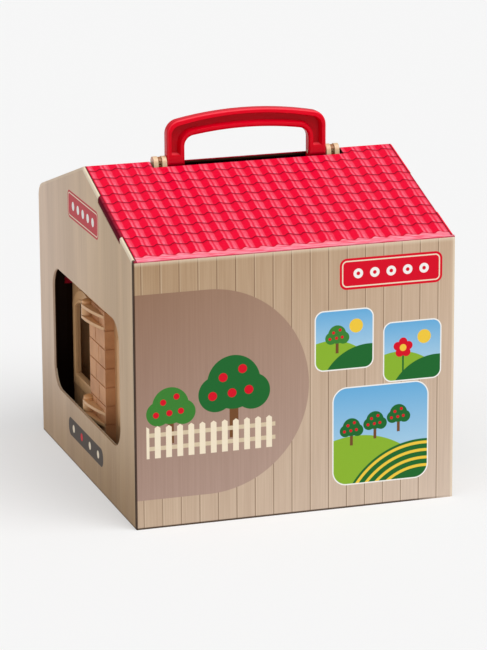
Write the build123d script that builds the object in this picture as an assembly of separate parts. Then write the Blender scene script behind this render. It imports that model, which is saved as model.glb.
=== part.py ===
from build123d import *
import os
from math import atan2, cos, hypot, radians, sin, tan

# Toy barn packed in its house-shaped carton, in millimetres.
# Origin: middle of the carton's underside.  X runs along the ridge towards the door
# gable, Y from the printed front wall to the back wall, Z up.
# "near" is the half of the barn at -Y, "far" the half at +Y.  The halves open like a
# book about two pins beside the chimney once the carton is off.

# ---- barn: overall form -----------------------------------------------------------
BARN_LENGTH = 201.5         # outside of the back gable to outside of the front gable
WALL_HALF = 96.0            # centre line to the outside of a long wall
EAVE_OVERHANG = 8.0         # long wall to the edge of the roof
BARN_RIDGE = 228.4          # underside of the floor to the top of the roof
BARN_RISE = 104.4           # eave edge to ridge
WALL = 2.2
ROOF = 2.4
FLOOR = 2.5
SEAM = 0.3                  # parting line between the halves
RELIEF = 1.2                # timbers, frames and battens stand this far off a wall
PLANK = 12.4                # width of one wall board, about
GROOVE = 0.9                # width of the groove between two boards
GROOVE_DEPTH = 0.5
PIN_CLEARANCE = 0.05        # radial, between a pin and its bore
RUNNING_GAP = 0.3           # between parts that move past each other

# ---- barn: roof -------------------------------------------------------------------
TILE_ROWS = 18
TILE_STEP = 1.0             # thickness of a tile at its lower edge
RIDGE_BAND = 9.0            # plain strip each side of the ridge
BACK_OVERHANG = 4.0
FRONT_OVERHANG = 6.0
DORMER_WIDTH = 103.0
DORMER_HEIGHT = 48.0        # sill to the top of the dormer's own roof
DORMER_FACE = 82.0          # centre line to the face of the dormer
DORMER_EAVE = 5.0           # its roof runs past its face by this much
DORMER_ROOF = 2.2
DORMER_FRAME = 2.6          # thickness of the lattice in its mouth
DORMER_BAR = 3.6            # width of the lattice's bars
DORMER_BAR_PITCH = 26.0
DORMER_RAIL = 17.0          # sill to the middle of the cross rail
DORMER_LIP = 3.0            # roof left standing round the opening under the dormer

# ---- barn: boards and vents of the door gable -----------------------------------------
RAKE = 7.0                  # board under the roof's edge
CORNER_BOARD = 20.0
VENT_WIDTH = 4.5
VENT_HEIGHT = 30.0
VENT_PITCH = 13.5
VENT_SILL = 165.0           # above the underside of the floor

# ---- barn: windows ----------------------------------------------------------------
SIDE_WINDOW = 42.0
SIDE_WINDOW_SILL = 53.0     # above the underside of the floor
SIDE_WINDOW_CROWN = 111.0
SIDE_WINDOW_RISE = 5.5      # of the flat arch above its springing
SIDE_WINDOW_OFFSET = 50.0   # middle of the wall to the middle of a window
SIDE_FRAME = 3.0            # width of the window's frame
BACK_WINDOW = 42.0
BACK_WINDOW_SILL = 55.0
BACK_WINDOW_CROWN = 114.5
BACK_WINDOW_RISE = 6.0
BACK_WINDOW_OFFSET = 61.5   # centre line to the middle of a window
BACK_FRAME = 9.5
BACK_BEAD = 2.4             # raised edge of the frame at its opening
BACK_BEAD_RELIEF = 0.8
SILL_REACH = 3.6            # how far a sill stands off its wall
SILL_HEIGHT = 4.4

# ---- barn: chimney and the pins that the halves turn on ----------------------------
CHIMNEY_WIDTH = 42.0
CHIMNEY_DEPTH = 7.5
SHOULDER = 148.0            # height at which the breast narrows
SHOULDER_RISE = 16.0
STACK_WIDTH = 30.0
STACK_TOP = 216.5
CAP_OVERHANG = 2.0
CAP_HEIGHT = 5.5
NOTCH_CLEARANCE = 0.4       # roof to chimney stack
COURSE = 14.5               # height of one course of brick
JOINT = 1.1                 # width of a mortar joint
JOINT_DEPTH = 0.6
BOND_SHIFT = 4.0            # head joints step this far either way from the middle
HINGE_HEIGHTS = (52.5, 126.5)   # underside of the floor to the top of each hinge
HINGE_INSET = 0.5           # pin line to the chimney's two faces
KNUCKLE_R = 5.6
HINGE_PIN_R = 1.75
HINGE_PLATE = 2.4
KNUCKLE_HEIGHT = 5.8
PIN_HEAD_R = 5.0
PIN_HEAD = 3.6
PIN_DOME = 1.4              # rise of the head's rounded top
PLATE_REACH = 40.0          # pin line to the tail of a hinge plate
KNUCKLE_FOOT = 8.0          # width of a knuckle's foot on the wall

# ---- barn: doorway, doors and their ironwork ----------------------------------------
DOORWAY = 106.0
DOORWAY_CROWN = 151.0       # above the underside of the floor
DOORWAY_RISE = 10.0         # of the arch above its springing
ARCH_TRIM = 8.0
DOOR = 2.4                  # thickness of a leaf between its battens
DOOR_GAP = 0.5              # leaf to jamb, arch and middle line
DOOR_FLOOR_GAP = 0.7
BATTEN = 6.0
BRACE = 5.0
EYE_R = 2.2
PINTLE_R = 1.0
PIN_INSET = 1.5             # edge of the doorway to the line of the door pins
DOOR_HINGE_HEIGHTS = (30.0, 109.0)  # underside of the floor to the middle of each hinge
DOOR_HINGE = 14.4           # height of a hinge
RING_HEIGHT = 3.0           # of the gable's rings, above and below the leaf's knuckle
ARM = 1.2                   # thickness of a hinge's flat arms
ARM_HEIGHT = 2.6
ARM_LENGTH = 7.5            # pin line to the tip of an arm
PULL_HEIGHT = 74.0          # underside of the floor to the middle of the door pull
PULL = 13.0
PULL_REACH = 5.0
PULL_THICK = 1.6
PULL_WIDTH = 3.6
PULL_INSET = 3.0            # free edge of the far leaf to its pull

# ---- barn: drop bar and its keeper ---------------------------------------------------
BAR_LENGTH = 48.0           # pivot to the centre of the rounded end
BAR_WIDTH = 6.5
BAR_THICK = 3.2
BAR_HEIGHT = 50.0           # pivot above the underside of the floor
BAR_PIVOT_IN = 24.5         # outside of the long wall to the pivot
BAR_LEAN = 26.0             # degrees past upright, so that it stays up
BAR_PIN_R = 1.5
BAR_HEAD_R = 3.4
BAR_HEAD = 1.5
BOSS_R = 4.2
PEG_R = 1.6
PEG_DISTANCE = 30.0         # pivot to the peg that the raised bar leans on
KEEPER_WIDTH = 5.0
KEEPER_GRASP = 2.5          # keeper to the centre of the bar's rounded end, inwards
KEEPER_WALL = 2.0
KEEPER_LIP = 7.5            # height of the hook in front of the bar
KEEPER_PLAY = 0.9

# ---- handle, its brackets and the latch tongues ---------------------------------------
HANDLE_X = 5.0              # middle of the handle
HANDLE_WIDTH = 123.2
HANDLE_RISE = 36.4          # pivot to the top of the grip
HANDLE_THICK = 9.0
HANDLE_FOOT = 13.6
GRIP = 14.0                 # height of the grip at its middle
HANDLE_CAMBER = 7.2         # fall of the top from its middle to its side
SHOULDER_R = 11.0
INNER_R = 8.0
HANDLE_RIM = 3.4
HANDLE_ROUND = 1.8          # radius of its long edges
CHANNEL_DEPTH = 5.0         # the grip is hollowed on its front side
CHANNEL_DRAFT = 12.0        # degrees, of the hollow's sides
CHANNEL_FOOT = 5.2          # pivot to the lower end of the hollow
PIVOT_HEIGHT = 5.5          # ridge to the pin
HANDLE_PIN_R = 1.5
EAR_R = 4.65
EAR = 3.5
TONGUE_SPACE = 3.0          # between the two ears of a bracket
TONGUE_SIDE = 0.3
TONGUE_R = 4.1
BRACKET_BASE = 1.6
BRACKET_FOOT = 13.0         # down the slope

# ---- carton ---------------------------------------------------------------------------
BOARD = 2.0
CARTON_RISE = 41.0          # eave to ridge
SIDE_ROOM = 25.0            # barn's eave to the inside of the carton
BACK_ROOM = 0.9             # hinge knuckles to the inside of the window gable
FRONT_ROOM = 8.5            # drop bar's keeper to the inside of the door gable
RIDGE_ROOM = 4.5            # barn's ridge to the inside of the carton's ridge
SLOT_ROOM_X = 2.1           # bracket to the end of the slot
SLOT_ROOM_Y = 4.3           # handle to the side of the slot
CREASE_R = 1.6
FOLD_R = 1.5                # rounded folds along the top and far edges of a gable panel
ROOF_END_GAP = 0.4          # end of a roof panel to the gable panel beside it
CORNER_GAP = 0.6            # open joint beside a gable panel
FLAP = 18.0                 # glue flap of a gable panel
FLAP_LIFT = 1.0             # glue flap to the base
EAVE_BEND = 13.0            # the far roof panel bends into the back wall, with no crease
VIEW_WIDTH = 184.0          # cut-out in the window gable
VIEW_SILL = 47.0
VIEW_HEAD = 142.0
EXIT_WIDTH = 136.0          # cut-out that the doors swing through
EXIT_HEAD = 164.0
CUT_CORNER_R = 18.0
TAB_START = 41.2            # centre line to the upper end of a roof tab
TAB_LENGTH = 56.2
TAB_DROP = 16.0
TAB_NOTCH = 3.2             # notch in the gable panel, below the roof panel
TAB_ROUND = 2.4             # radius of the tab's fold
TAB_PLAY = 0.2
BASE_PLAY = 0.4             # loose base to the carton's walls
UPSTAND = 12.0              # folded strips of the base that hold the barn
UPSTAND_END = 12.0          # bare wall beyond each end of a strip

# ---- worked-out places ------------------------------------------------------------------
BASE_Z = BOARD
RIDGE_Z = BASE_Z + BARN_RIDGE
EAVE_HALF = WALL_HALF + EAVE_OVERHANG
SLOPE = BARN_RISE / EAVE_HALF
SLOPE_RUN = hypot(1, SLOPE)
INNER_HALF = WALL_HALF - WALL
FLOOR_TOP = BASE_Z + FLOOR

EYE_OUT = RUNNING_GAP + 0.1 + EYE_R                 # wall to the line of the door pins
BAR_BACK = EYE_OUT + EYE_R + 2 * RUNNING_GAP        # wall to the back of the drop bar
BAR_FRONT = BAR_BACK + BAR_THICK
KEEPER_REACH = BAR_FRONT + KEEPER_PLAY + KEEPER_WALL
HINGE_OUT = CHIMNEY_DEPTH + HINGE_INSET             # wall to the line of the book pins

CARTON_LENGTH = (2 * BOARD + BACK_ROOM + KNUCKLE_R + HINGE_OUT + BARN_LENGTH
                 + KEEPER_REACH + FRONT_ROOM)
CARTON_X = CARTON_LENGTH / 2
CARTON_Y = EAVE_HALF + SIDE_ROOM + BOARD
CARTON_PITCH = atan2(CARTON_RISE, CARTON_Y)
BOARD_DROP = BOARD / cos(CARTON_PITCH)              # roof board measured straight down
CARTON_RIDGE = RIDGE_Z + RIDGE_ROOM + BOARD_DROP
CARTON_EAVE = CARTON_RIDGE - CARTON_RISE

BACK_X = -CARTON_X + BOARD + BACK_ROOM + KNUCKLE_R + HINGE_OUT
FRONT_X = BACK_X + BARN_LENGTH
CHIMNEY_X = BACK_X - CHIMNEY_DEPTH
HINGE_X = BACK_X - HINGE_OUT
HINGE_Y = CHIMNEY_WIDTH / 2 - HINGE_INSET
SPRING_Z = BASE_Z + DOORWAY_CROWN - DOORWAY_RISE
DOOR_PIN_X = FRONT_X + EYE_OUT
DOOR_PIN_Y = DOORWAY / 2 + PIN_INSET
DOOR_FACE = FRONT_X + RELIEF / 2                    # front of the battens
DOOR_BACK = DOOR_FACE - RELIEF - DOOR
BAR_PIVOT_Y = WALL_HALF - BAR_PIVOT_IN
BAR_PIVOT_Z = BASE_Z + BAR_HEIGHT
PIVOT_Z = RIDGE_Z + PIVOT_HEIGHT
BRACKET = 2 * EAR + TONGUE_SPACE
SLOT_HALF_X = HANDLE_WIDTH / 2 + RUNNING_GAP + BRACKET + SLOT_ROOM_X
SLOT_HALF_Y = HANDLE_THICK / 2 + SLOT_ROOM_Y
PAST = 1.0                                          # a cut runs past its face by this


def roof_top(y):
    return RIDGE_Z - SLOPE * abs(y)


def roof_under(y):
    return roof_top(y) - ROOF * SLOPE_RUN


def board_top(y):
    return CARTON_RIDGE - abs(y) * CARTON_RISE / CARTON_Y


def board_under(y):
    return board_top(y) - BOARD_DROP


# ---- shared shapes ------------------------------------------------------------------------
def outline(*points):
    return make_face(Polyline(*points, close=True))


def along_x(profile, start, end):
    """Run a (Y, Z) profile from one x to another."""
    return Pos(start, 0, 0) * extrude(Plane.YZ * profile, amount=end - start)


def along_y(profile, start, end):
    """Run an (X, Z) profile from one y to another."""
    return Pos(0, end, 0) * extrude(Plane.XZ * profile, amount=end - start)


def along_z(profile, start, end):
    """Run an (X, Y) profile from one z to another."""
    return Pos(0, 0, start) * extrude(profile, amount=end - start)


def block(x0, x1, y0, y1, z0, z1):
    return Pos((x0 + x1) / 2, (y0 + y1) / 2, (z0 + z1) / 2) * Box(x1 - x0, y1 - y0, z1 - z0)


def rectangle(u0, u1, v0, v1):
    return Pos((u0 + u1) / 2, (v0 + v1) / 2) * Rectangle(u1 - u0, v1 - v0)


def disc(u, v, radius):
    return Pos(u, v) * Circle(radius)


def strip(start, end, width):
    """Straight bar between two points of a profile."""
    (u0, v0), (u1, v1) = start, end
    length = hypot(u1 - u0, v1 - v0)
    du, dv = -(v1 - v0) * width / 2 / length, (u1 - u0) * width / 2 / length
    return outline((u0 + du, v0 + dv), (u1 + du, v1 + dv), (u1 - du, v1 - dv), (u0 - du, v0 - dv))


def arched(centre, width, foot, crown, rise):
    """Upright opening whose head is an arc of the given rise."""
    left, right, spring = centre - width / 2, centre + width / 2, crown - rise
    return make_face([
        Line((left, spring), (left, foot)),
        Line((left, foot), (right, foot)),
        Line((right, foot), (right, spring)),
        ThreePointArc((right, spring), (centre, crown), (left, spring)),
    ])


def spaced(start, end, pitch):
    """Even steps of about one pitch between two ends, without the ends."""
    count = max(2, round((end - start) / pitch))
    return [start + (end - start) * i / count for i in range(1, count)]


def far_side(shape):
    return mirror(shape, about=Plane.XZ)


# ---- walls ----------------------------------------------------------------------------------
def side_window_opening(x, grow=0.0):
    return arched(x, SIDE_WINDOW + 2 * grow, BASE_Z + SIDE_WINDOW_SILL - grow,
                  BASE_Z + SIDE_WINDOW_CROWN + grow, SIDE_WINDOW_RISE)


def side_window_places():
    middle = (BACK_X + FRONT_X) / 2
    return (middle - SIDE_WINDOW_OFFSET, middle + SIDE_WINDOW_OFFSET)


def long_wall():
    """Near side wall: boarded outside, bevelled on top to the roof's underside."""
    section = outline((-WALL_HALF, BASE_Z), (-INNER_HALF, BASE_Z),
                      (-INNER_HALF, roof_under(INNER_HALF)), (-WALL_HALF, roof_under(WALL_HALF)))
    wall = along_x(section, BACK_X, FRONT_X)
    for x in side_window_places():
        wall -= along_y(side_window_opening(x), -WALL_HALF - PAST, -INNER_HALF + PAST)
    return wall - [
        block(x - GROOVE / 2, x + GROOVE / 2, -WALL_HALF - PAST, -WALL_HALF + GROOVE_DEPTH,
              BASE_Z - PAST, RIDGE_Z)
        for x in spaced(BACK_X, FRONT_X, PLANK)
    ]


def half_gable():
    """(Y, Z) outline of the near half of a gable, between the long wall and the seam."""
    return outline((-SEAM / 2, BASE_Z), (-INNER_HALF, BASE_Z),
                   (-INNER_HALF, roof_under(INNER_HALF)), (-SEAM / 2, roof_under(SEAM / 2)))


def board_grooves(keep_clear):
    """Grooves of a gable as a profile, left out where something is moulded over them."""
    lines = [rectangle(y - GROOVE / 2, y + GROOVE / 2, BASE_Z - PAST, RIDGE_Z)
             for y in spaced(-INNER_HALF, -SEAM / 2, PLANK)]
    return Sketch() + lines - keep_clear


def doorway():
    return arched(0, DOORWAY, BASE_Z - PAST, BASE_Z + DOORWAY_CROWN, DOORWAY_RISE)


def vent_slots():
    """Three upright vents above the doors; the middle one is shared by the halves."""
    low, half = BASE_Z + VENT_SILL, VENT_WIDTH / 2
    return Sketch() + [rectangle(y - half, y + half, low, low + VENT_HEIGHT)
                       for y in (-VENT_PITCH, 0)]


def gable_trim():
    """Boards that frame the near half of the door gable, as a profile."""
    rake = outline((0, roof_under(0)), (-INNER_HALF, roof_under(INNER_HALF)),
                   (-INNER_HALF, roof_under(INNER_HALF) - RAKE * SLOPE_RUN),
                   (0, roof_under(0) - RAKE * SLOPE_RUN))
    corner = rectangle(-INNER_HALF, CORNER_BOARD - INNER_HALF, BASE_Z, RIDGE_Z)
    return (rake + corner) & half_gable()


def arch_band():
    """Moulding over the near half of the doorway, as a profile."""
    reach = DOORWAY / 2 + ARCH_TRIM
    outer = arched(0, 2 * reach, BASE_Z, BASE_Z + DOORWAY_CROWN + ARCH_TRIM, DOORWAY_RISE)
    return (outer - doorway()) & rectangle(-reach - PAST, -SEAM / 2, SPRING_Z, RIDGE_Z)


def front_gable():
    """Near half of the door gable with its boards, without what the drop bar needs."""
    trim = gable_trim()
    panel = along_x(half_gable() - doorway() - vent_slots(), FRONT_X - WALL, FRONT_X)
    panel -= along_x(board_grooves(trim + arch_band()), FRONT_X - GROOVE_DEPTH, FRONT_X + PAST)
    return panel + along_x(trim, FRONT_X, FRONT_X + RELIEF)


def near_front_gable():
    """The near half also carries the drop bar's boss and the peg that it leans on."""
    boss = along_x(disc(-BAR_PIVOT_Y, BAR_PIVOT_Z, BOSS_R), FRONT_X, FRONT_X + BAR_BACK - RUNNING_GAP)
    bore = along_x(disc(-BAR_PIVOT_Y, BAR_PIVOT_Z, BAR_PIN_R + PIN_CLEARANCE),
                   FRONT_X - WALL - PAST, FRONT_X + BAR_FRONT)
    lean = radians(BAR_LEAN)
    aside = BAR_WIDTH / 2 + RUNNING_GAP + PEG_R
    peg_y = -BAR_PIVOT_Y - PEG_DISTANCE * sin(lean) - aside * cos(lean)
    peg_z = BAR_PIVOT_Z + PEG_DISTANCE * cos(lean) - aside * sin(lean)
    peg = along_x(disc(peg_y, peg_z, PEG_R), FRONT_X, FRONT_X + BAR_FRONT)
    return front_gable() + boss + peg - bore


def back_window_opening(grow=0.0):
    width = BACK_WINDOW + 2 * grow
    return arched(-BACK_WINDOW_OFFSET, width, BASE_Z + BACK_WINDOW_SILL - grow,
                  BASE_Z + BACK_WINDOW_CROWN + grow, BACK_WINDOW_RISE + grow)


def back_gable():
    panel = along_x(half_gable() - back_window_opening(), BACK_X, BACK_X + WALL)
    behind_chimney = rectangle(-CHIMNEY_WIDTH / 2, 0, BASE_Z - PAST, RIDGE_Z)
    return panel - along_x(board_grooves(behind_chimney), BACK_X - PAST, BACK_X + GROOVE_DEPTH)


def door_arch():
    return along_x(arch_band(), FRONT_X, FRONT_X + RELIEF)


# ---- window frames ------------------------------------------------------------------------
def side_window_frames():
    """Frame and sill of both windows of the near long wall."""
    frames = Part()
    sill_z = BASE_Z + SIDE_WINDOW_SILL
    for x in side_window_places():
        half = SIDE_WINDOW / 2 + SIDE_FRAME
        ring = side_window_opening(x, SIDE_FRAME) - side_window_opening(x)
        ring &= rectangle(x - half - PAST, x + half + PAST, sill_z, RIDGE_Z)
        sill = block(x - half - RELIEF, x + half + RELIEF, -WALL_HALF - SILL_REACH, -WALL_HALF,
                     sill_z - SILL_HEIGHT, sill_z)
        frames += along_y(ring, -WALL_HALF - RELIEF, -WALL_HALF) + sill
    return frames


def back_window_frame():
    """Broad frame round the near window in the back gable, with a bead round its opening."""
    ring = back_window_opening(BACK_FRAME) - back_window_opening()
    bead = back_window_opening(BACK_BEAD) - back_window_opening()
    return (along_x(ring, BACK_X - RELIEF, BACK_X)
            + along_x(bead, BACK_X - RELIEF - BACK_BEAD_RELIEF, BACK_X - RELIEF))


# ---- floor ----------------------------------------------------------------------------------
def floor():
    slab = block(BACK_X + WALL, FRONT_X - WALL, -INNER_HALF, -SEAM / 2, BASE_Z, FLOOR_TOP)
    threshold = block(FRONT_X - WALL, FRONT_X, -DOORWAY / 2, -SEAM / 2, BASE_Z, FLOOR_TOP)
    return slab + threshold


# ---- roof -----------------------------------------------------------------------------------
def on_slope(distance, height):
    """Point of the near slope: distance down from the ridge, height square off it."""
    return (-(distance + height * SLOPE) / SLOPE_RUN,
            RIDGE_Z + (height - distance * SLOPE) / SLOPE_RUN)


def tiled_edge():
    """Stepped line of the tiles from the ridge to the eave."""
    length = EAVE_HALF * SLOPE_RUN
    row = (length - RIDGE_BAND) / TILE_ROWS
    points = [(-SEAM / 2, roof_top(SEAM / 2)), on_slope(RIDGE_BAND, 0)]
    for i in range(TILE_ROWS):
        low = RIDGE_BAND + (i + 1) * row
        points += [on_slope(low, TILE_STEP), on_slope(low, 0)]
    return points


def roof():
    """Near slope: stepped tiles, a notch round the stack, and the dormer moulded on."""
    tiles = tiled_edge()
    section = outline(*tiles, (-EAVE_HALF, roof_under(EAVE_HALF)), (-SEAM / 2, roof_under(SEAM / 2)))
    slope = along_x(section, BACK_X - BACK_OVERHANG, FRONT_X + FRONT_OVERHANG)
    notch = STACK_WIDTH / 2 + NOTCH_CLEARANCE
    slope -= block(BACK_X - BACK_OVERHANG - PAST, BACK_X, -notch, 0, BASE_Z, CARTON_RIDGE)
    middle = (BACK_X + FRONT_X) / 2
    under_tiles = along_x(outline(*tiles, (-EAVE_HALF, BASE_Z), (-SEAM / 2, BASE_Z)),
                          BACK_X, FRONT_X)
    sill_z = roof_top(DORMER_FACE)
    half, apex = DORMER_WIDTH / 2, sill_z + DORMER_HEIGHT
    gable = outline((middle - half, sill_z), (middle, apex), (middle + half, sill_z))
    lining = dormer_lining(middle, sill_z)
    meets_slope = (RIDGE_Z - apex) / SLOPE - PAST
    dormer = along_y(gable - lining, -DORMER_FACE - DORMER_EAVE, -meets_slope) - under_tiles
    light = half - DORMER_ROOF - DORMER_LIP
    opening = block(middle - light / 2, middle + light / 2, DORMER_LIP - DORMER_FACE,
                    -(DORMER_FACE + meets_slope) / 2, BASE_Z, CARTON_RIDGE)
    return slope - opening + dormer


def dormer_lining(middle, sill_z):
    """Triangle left open inside the dormer's own roof."""
    half = DORMER_WIDTH / 2
    pitch = atan2(DORMER_HEIGHT, half)
    inner_half = half - DORMER_ROOF / sin(pitch)
    return outline((middle - inner_half, sill_z - PAST), (middle - inner_half, sill_z),
                   (middle, sill_z + DORMER_HEIGHT - DORMER_ROOF / cos(pitch)),
                   (middle + inner_half, sill_z), (middle + inner_half, sill_z - PAST))


def dormer_frame():
    """Open lattice standing in the mouth of the dormer: a border, three bars and a rail."""
    middle = (BACK_X + FRONT_X) / 2
    sill_z = roof_top(DORMER_FACE)
    half, apex = DORMER_WIDTH / 2, sill_z + DORMER_HEIGHT
    pitch = atan2(DORMER_HEIGHT, half)
    side = DORMER_ROOF + DORMER_BAR
    light_half = half - side / sin(pitch) - DORMER_BAR / tan(pitch)
    light = outline((middle - light_half, sill_z + DORMER_BAR), (middle, apex - side / cos(pitch)),
                    (middle + light_half, sill_z + DORMER_BAR))
    bars = [rectangle(x - DORMER_BAR / 2, x + DORMER_BAR / 2, sill_z, apex)
            for x in (middle - DORMER_BAR_PITCH, middle, middle + DORMER_BAR_PITCH)]
    rail_z = sill_z + DORMER_RAIL
    bars.append(rectangle(middle - half, middle + half, rail_z - DORMER_BAR / 2, rail_z + DORMER_BAR / 2))
    face = dormer_lining(middle, sill_z)
    lattice = face - light + ((Sketch() + bars) & face)
    under_tiles = along_x(outline(*tiled_edge(), (-EAVE_HALF, BASE_Z), (-SEAM / 2, BASE_Z)),
                          BACK_X, FRONT_X)
    return along_y(lattice, -DORMER_FACE, DORMER_FRAME - DORMER_FACE) - under_tiles


# ---- chimney and book hinge --------------------------------------------------------------------
def stack_outline():
    wide, slim = CHIMNEY_WIDTH / 2, STACK_WIDTH / 2
    neck = BASE_Z + SHOULDER + SHOULDER_RISE
    return outline((-wide, BASE_Z), (wide, BASE_Z), (wide, BASE_Z + SHOULDER), (slim, neck),
                   (slim, BASE_Z + STACK_TOP), (-slim, BASE_Z + STACK_TOP), (-slim, neck),
                   (-wide, BASE_Z + SHOULDER))


def hinge_stack():
    return 2 * HINGE_PLATE + KNUCKLE_HEIGHT + 2 * RUNNING_GAP


def chimney():
    """Brick breast on the back gable, with pockets for the hinge knuckles."""
    body = along_x(stack_outline(), CHIMNEY_X, BACK_X)
    core = along_x(offset(stack_outline(), -JOINT_DEPTH, kind=Kind.INTERSECTION),
                   CHIMNEY_X + JOINT_DEPTH, BACK_X + PAST)
    beds = spaced(BASE_Z, BASE_Z + STACK_TOP, COURSE)
    wide = CHIMNEY_WIDTH / 2 + PAST
    joints = [block(CHIMNEY_X - PAST, BACK_X, -wide, wide, z - JOINT / 2, z + JOINT / 2)
              for z in beds]
    course = beds[1] - beds[0]
    for i, z in enumerate([BASE_Z] + beds):
        y = BOND_SHIFT if i % 2 else -BOND_SHIFT
        joints.append(block(CHIMNEY_X - PAST, CHIMNEY_X + JOINT_DEPTH, y - JOINT / 2,
                            y + JOINT / 2, z, z + course))
    body -= (Part() + joints) - core
    for height in HINGE_HEIGHTS:
        top = BASE_Z + height + PIN_HEAD + RUNNING_GAP
        pocket = disc(HINGE_X, HINGE_Y, KNUCKLE_R + NOTCH_CLEARANCE)
        body -= along_z(pocket, BASE_Z + height - hinge_stack() - RUNNING_GAP, top)
    return body


def chimney_cap():
    half = STACK_WIDTH / 2 + CAP_OVERHANG
    low, high = BASE_Z + STACK_TOP, BASE_Z + STACK_TOP + CAP_HEIGHT
    slab = block(CHIMNEY_X - CAP_OVERHANG, BACK_X, -half, half, low, high)
    flue = block(CHIMNEY_X + CAP_OVERHANG, BACK_X - CAP_OVERHANG, -half / 2, half / 2,
                 high - CAP_HEIGHT / 2, high + PAST)
    return slab - flue


def hinge_plates():
    """Two pairs of plates on the chimney's face that hold the pins."""
    front = HINGE_X - KNUCKLE_R
    tail = HINGE_Y - PLATE_REACH
    leaf = make_face([
        TangentArc((front, HINGE_Y), (CHIMNEY_X, tail), tangent=(0, -1)),
        Line((CHIMNEY_X, tail), (CHIMNEY_X, HINGE_Y)),
        Line((CHIMNEY_X, HINGE_Y), (front, HINGE_Y)),
    ])
    leaf += disc(HINGE_X, HINGE_Y, KNUCKLE_R)
    leaf -= disc(HINGE_X, HINGE_Y, HINGE_PIN_R + PIN_CLEARANCE)
    plates = Part()
    for height in HINGE_HEIGHTS:
        top = BASE_Z + height
        plates += along_z(leaf, top - HINGE_PLATE, top)
        plates += along_z(leaf, top - hinge_stack(), top - hinge_stack() + HINGE_PLATE)
    return plates


def hinge_knuckles():
    """Knuckles of the far half, each between two plates, with a foot on the back gable."""
    clear_y = CHIMNEY_WIDTH / 2 + HINGE_INSET
    arm = outline((HINGE_X, HINGE_Y), (HINGE_X, HINGE_Y + KNUCKLE_R),
                  (BACK_X, clear_y + KNUCKLE_FOOT), (BACK_X, clear_y),
                  (HINGE_X + KNUCKLE_R / 2, clear_y))
    eye = arm + disc(HINGE_X, HINGE_Y, KNUCKLE_R) - disc(HINGE_X, HINGE_Y, HINGE_PIN_R + PIN_CLEARANCE)
    knuckles = Part()
    for height in HINGE_HEIGHTS:
        low = BASE_Z + height - HINGE_PLATE - RUNNING_GAP - KNUCKLE_HEIGHT
        knuckles += along_z(eye, low, low + KNUCKLE_HEIGHT)
    return knuckles


def hinge_pin(height):
    """Pin with a domed head dropped through one hinge from above."""
    top = BASE_Z + height
    shaft = along_z(disc(HINGE_X, HINGE_Y, HINGE_PIN_R), top - hinge_stack(), top)
    head = along_z(disc(HINGE_X, HINGE_Y, PIN_HEAD_R), top, top + PIN_HEAD)
    ball_r = (PIN_HEAD_R ** 2 + PIN_DOME ** 2) / (2 * PIN_DOME)
    dome = Pos(HINGE_X, HINGE_Y, top + PIN_HEAD - ball_r) * Sphere(ball_r)
    return shaft + (head & dome)


# ---- doors ----------------------------------------------------------------------------------
def leaf_outline(shrink=0.0):
    """(Y, Z) outline of the near leaf, inside the doorway by its gap and a margin."""
    inset = DOOR_GAP + shrink
    arch = arched(0, DOORWAY - 2 * inset, FLOOR_TOP + DOOR_FLOOR_GAP + shrink,
                  BASE_Z + DOORWAY_CROWN - inset, DOORWAY_RISE)
    return arch & rectangle(-DOORWAY, -DOOR_GAP - shrink, 0, RIDGE_Z)


def door():
    """Near leaf: boards behind a batten frame with two crosses, one above the other."""
    field = leaf_outline(BATTEN)
    box = field.bounding_box()
    low, high = box.min.Y, SPRING_Z - BATTEN / 2
    left, right = box.min.X, box.max.X
    middle = (low + high) / 2
    battens = [rectangle(left - PAST, right + PAST, z - BATTEN / 2, z + BATTEN / 2)
               for z in (middle, high)]
    for foot, head in ((low, middle), (middle, high)):
        battens += [strip((left, foot), (right, head), BRACE), strip((left, head), (right, foot), BRACE)]
    raised = leaf_outline() - field + ((Sketch() + battens) & leaf_outline())
    boards = along_x(leaf_outline(), DOOR_BACK, DOOR_BACK + DOOR)
    lines = Sketch() + [rectangle(y - GROOVE / 2, y + GROOVE / 2, 0, RIDGE_Z)
                        for y in spaced(left, right, PLANK / 2)]
    grooves = (lines & field) - raised
    boards -= along_x(grooves, DOOR_BACK + DOOR - GROOVE_DEPTH, DOOR_BACK + DOOR + PAST)
    return boards + along_x(raised, DOOR_BACK + DOOR, DOOR_FACE)


def hinge_arms(low, high, way):
    """Flat arms at the bottom and top of a stretch of a door hinge, out from the pin line."""
    y0, y1 = sorted((-DOOR_PIN_Y, -DOOR_PIN_Y + way * ARM_LENGTH))
    return rectangle(y0, y1, low, low + ARM_HEIGHT) + rectangle(y0, y1, high - ARM_HEIGHT, high)


def door_straps():
    """Two knuckles of the near leaf, each with a pair of arms on its face."""
    straps = Part()
    eye = disc(DOOR_PIN_X, -DOOR_PIN_Y, EYE_R) - disc(DOOR_PIN_X, -DOOR_PIN_Y, PINTLE_R + PIN_CLEARANCE)
    for height in DOOR_HINGE_HEIGHTS:
        half = DOOR_HINGE / 2 - RING_HEIGHT - RUNNING_GAP
        low, high = BASE_Z + height - half, BASE_Z + height + half
        knuckle = along_z(eye, low, high)
        bore = along_z(disc(DOOR_PIN_X, -DOOR_PIN_Y, PINTLE_R + PIN_CLEARANCE), low - PAST, high + PAST)
        straps += knuckle + along_x(hinge_arms(low, high, 1), DOOR_FACE, DOOR_FACE + ARM) - bore
    return straps


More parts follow.
